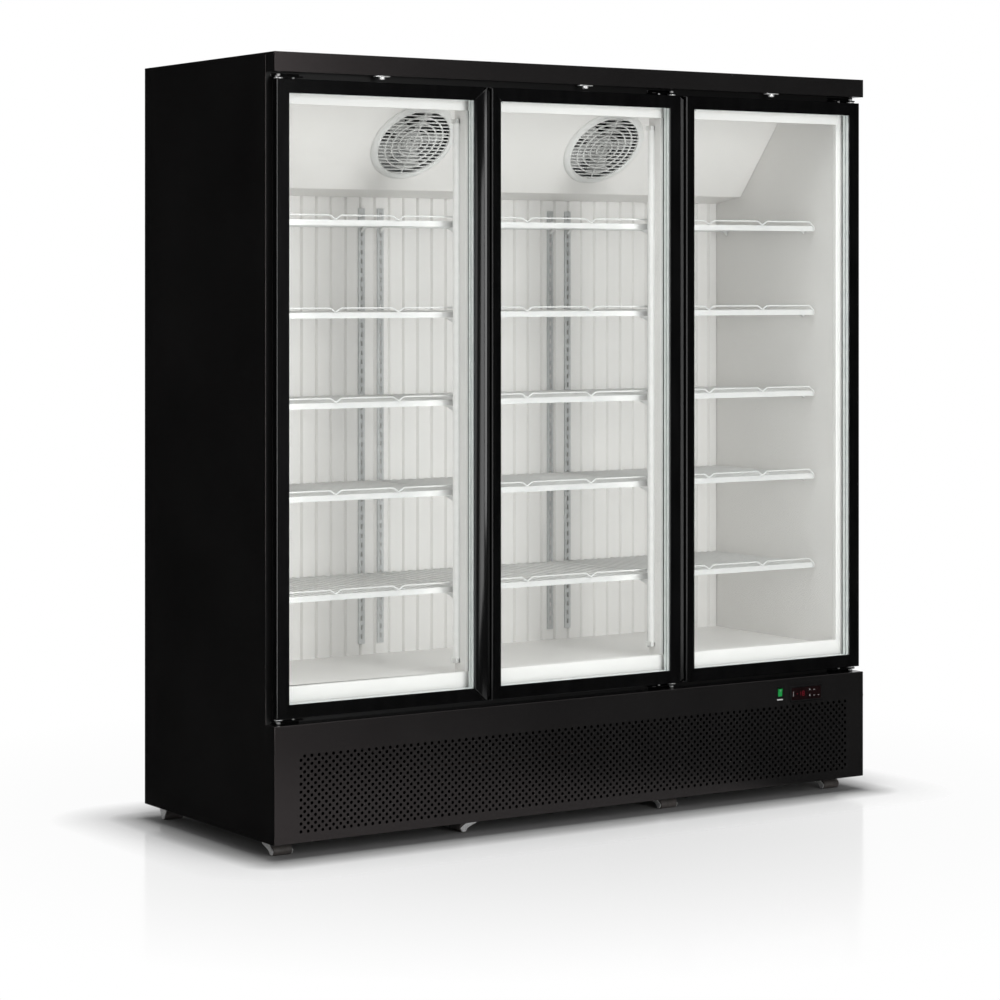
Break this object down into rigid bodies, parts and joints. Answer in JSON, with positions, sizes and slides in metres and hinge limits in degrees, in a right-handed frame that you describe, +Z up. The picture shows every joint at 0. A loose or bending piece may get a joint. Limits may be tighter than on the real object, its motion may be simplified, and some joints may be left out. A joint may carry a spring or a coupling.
{
  "type": "upright glass-door display freezer",
  "caption": "Free-standing upright display freezer with hinged glass doors, lit shelves, top-mounted evaporator fans and a perforated base on castors.",
  "frame": {"origin": "on the floor under the middle of the freezer's bounding box", "axes": "+X to the right seen from the front, +Y to the back, +Z up; the doors face -Y"},
  "size_m": [1.88, 0.714, 1.99],
  "materials": {
    "black_paint": "fine-textured black powder coat",
    "door_black": "satin black anodised profile",
    "white_paint": "white pre-painted sheet",
    "white_plastic": "white plastic",
    "foam": "foamed insulation",
    "lamp": "frosted diffuser",
    "shelf_white": "plastic-coated wire",
    "galvanised": "galvanised sheet",
    "aluminium": "mill finish",
    "copper": "drawn copper",
    "compressor_black": "black enamel",
    "fan_plastic": "moulded plastic",
    "control_black": "black moulding",
    "rocker_green": "translucent green",
    "glass": "clear float glass",
    "spacer_grey": "anodised spacer bar",
    "gasket_black": "soft magnetic gasket",
    "steel": "zinc-plated steel",
    "wheel_dark": "dark nylon roller"
  },
  "bodies": {
    "cabinet": {"left_side_panel": "black_paint", "right_side_panel": "black_paint", "back_panel": "black_paint", "top_panel": "black_paint", "insulation": "foam", "inner_liner": "white_paint", "front_frame": "white_paint", "mullions": "white_paint", "led_lamps": "lamp", "header_panel": "black_paint", "base_panel": "black_paint", "base_frame": "black_paint", "shelf_pilasters": "steel", "shelf_clips": "shelf_white", "shelves_left": "shelf_white", "shelves_middle": "shelf_white", "shelves_right": "shelf_white", "evaporator_cover": "white_paint", "fan_guards": "white_plastic", "evaporator_coil": "aluminium", "back_duct_panel": "white_paint", "fan_motors": "galvanised", "compressor": "compressor_black", "condenser_coil": "compressor_black", "condenser_fan_shroud": "black_paint", "drip_tray": "control_black", "refrigerant_pipes": "copper", "thermostat": "control_black", "switch_housing": "control_black", "hinge_brackets": "steel", "door_locks": "steel", "castor_plates": "steel"},
    "door_left": {"door_left_frame": "door_black", "door_left_glass": "glass", "door_left_spacers": "spacer_grey", "door_left_gasket": "gasket_black"},
    "door_middle": {"door_middle_frame": "door_black", "door_middle_glass": "glass", "door_middle_spacers": "spacer_grey", "door_middle_gasket": "gasket_black"},
    "door_right": {"door_right_frame": "door_black", "door_right_glass": "glass", "door_right_spacers": "spacer_grey", "door_right_gasket": "gasket_black"},
    "evaporator_fan_left": {"evaporator_fan_left": "fan_plastic"},
    "evaporator_fan_right": {"evaporator_fan_right": "fan_plastic"},
    "condenser_fan": {"condenser_fan": "fan_plastic"},
    "switch_rocker": {"switch_rocker": "rocker_green"},
    "front_castor_fork_1": {"front_castor_fork_1": "steel"},
    "front_castor_wheel_1": {"front_castor_wheel_1": "wheel_dark"},
    "front_castor_fork_2": {"front_castor_fork_2": "steel"},
    "front_castor_wheel_2": {"front_castor_wheel_2": "wheel_dark"},
    "front_castor_fork_3": {"front_castor_fork_3": "steel"},
    "front_castor_wheel_3": {"front_castor_wheel_3": "wheel_dark"},
    "front_castor_fork_4": {"front_castor_fork_4": "steel"},
    "front_castor_wheel_4": {"front_castor_wheel_4": "wheel_dark"},
    "rear_castor_wheel_left": {"rear_castor_wheel_left": "wheel_dark"},
    "rear_castor_wheel_right": {"rear_castor_wheel_right": "wheel_dark"}
  },
  "joints": [
    {"name": "door_left_hinge", "type": "hinge", "parent": "cabinet", "child": "door_left", "pos_m": [-0.915, -0.326, 1.1355], "axis": [0, 0, -1], "range_deg": [0, 90]},
    {"name": "door_middle_hinge", "type": "hinge", "parent": "cabinet", "child": "door_middle", "pos_m": [0.291, -0.326, 1.1355], "axis": [0, 0, 1], "range_deg": [0, 90]},
    {"name": "door_right_hinge", "type": "hinge", "parent": "cabinet", "child": "door_right", "pos_m": [0.915, -0.326, 1.1355], "axis": [0, 0, 1], "range_deg": [0, 90]},
    {"name": "evaporator_fan_left_spin", "type": "hinge", "parent": "cabinet", "child": "evaporator_fan_left", "pos_m": [-0.312, 0.019, 1.7985], "axis": [0, 0.7665, 0.6423], "continuous": true},
    {"name": "evaporator_fan_right_spin", "type": "hinge", "parent": "cabinet", "child": "evaporator_fan_right", "pos_m": [0.312, 0.019, 1.7985], "axis": [0, 0.7665, 0.6423], "continuous": true},
    {"name": "condenser_fan_spin", "type": "hinge", "parent": "cabinet", "child": "condenser_fan", "pos_m": [0.38, -0.186, 0.205], "axis": [0, 1, 0], "continuous": true},
    {"name": "switch_rocker_tilt", "type": "hinge", "parent": "cabinet", "child": "switch_rocker", "pos_m": [0.642, -0.351, 0.296], "axis": [1, 0, 0], "range_deg": [-14, 0]},
    {"name": "front_castor_swivel_1", "type": "hinge", "parent": "cabinet", "child": "front_castor_fork_1", "pos_m": [-0.88, -0.2485, 0.04], "axis": [0, 0, 1], "continuous": true},
    {"name": "front_castor_roll_1", "type": "hinge", "parent": "front_castor_fork_1", "child": "front_castor_wheel_1", "pos_m": [-0.88, -0.2765, 0.012], "axis": [1, 0, 0], "continuous": true},
    {"name": "front_castor_swivel_2", "type": "hinge", "parent": "cabinet", "child": "front_castor_fork_2", "pos_m": [-0.312, -0.2485, 0.04], "axis": [0, 0, 1], "continuous": true},
    {"name": "front_castor_roll_2", "type": "hinge", "parent": "front_castor_fork_2", "child": "front_castor_wheel_2", "pos_m": [-0.34, -0.2485, 0.012], "axis": [0, 1, 0], "continuous": true},
    {"name": "front_castor_swivel_3", "type": "hinge", "parent": "cabinet", "child": "front_castor_fork_3", "pos_m": [0.312, -0.2485, 0.04], "axis": [0, 0, 1], "continuous": true},
    {"name": "front_castor_roll_3", "type": "hinge", "parent": "front_castor_fork_3", "child": "front_castor_wheel_3", "pos_m": [0.312, -0.2765, 0.012], "axis": [1, 0, 0], "continuous": true},
    {"name": "front_castor_swivel_4", "type": "hinge", "parent": "cabinet", "child": "front_castor_fork_4", "pos_m": [0.88, -0.2485, 0.04], "axis": [0, 0, 1], "continuous": true},
    {"name": "front_castor_roll_4", "type": "hinge", "parent": "front_castor_fork_4", "child": "front_castor_wheel_4", "pos_m": [0.88, -0.2765, 0.012], "axis": [1, 0, 0], "continuous": true},
    {"name": "rear_castor_roll_left", "type": "hinge", "parent": "cabinet", "child": "rear_castor_wheel_left", "pos_m": [-0.88, 0.312, 0.012], "axis": [1, 0, 0], "continuous": true},
    {"name": "rear_castor_roll_right", "type": "hinge", "parent": "cabinet", "child": "rear_castor_wheel_right", "pos_m": [0.88, 0.312, 0.012], "axis": [1, 0, 0], "continuous": true}
  ]
}
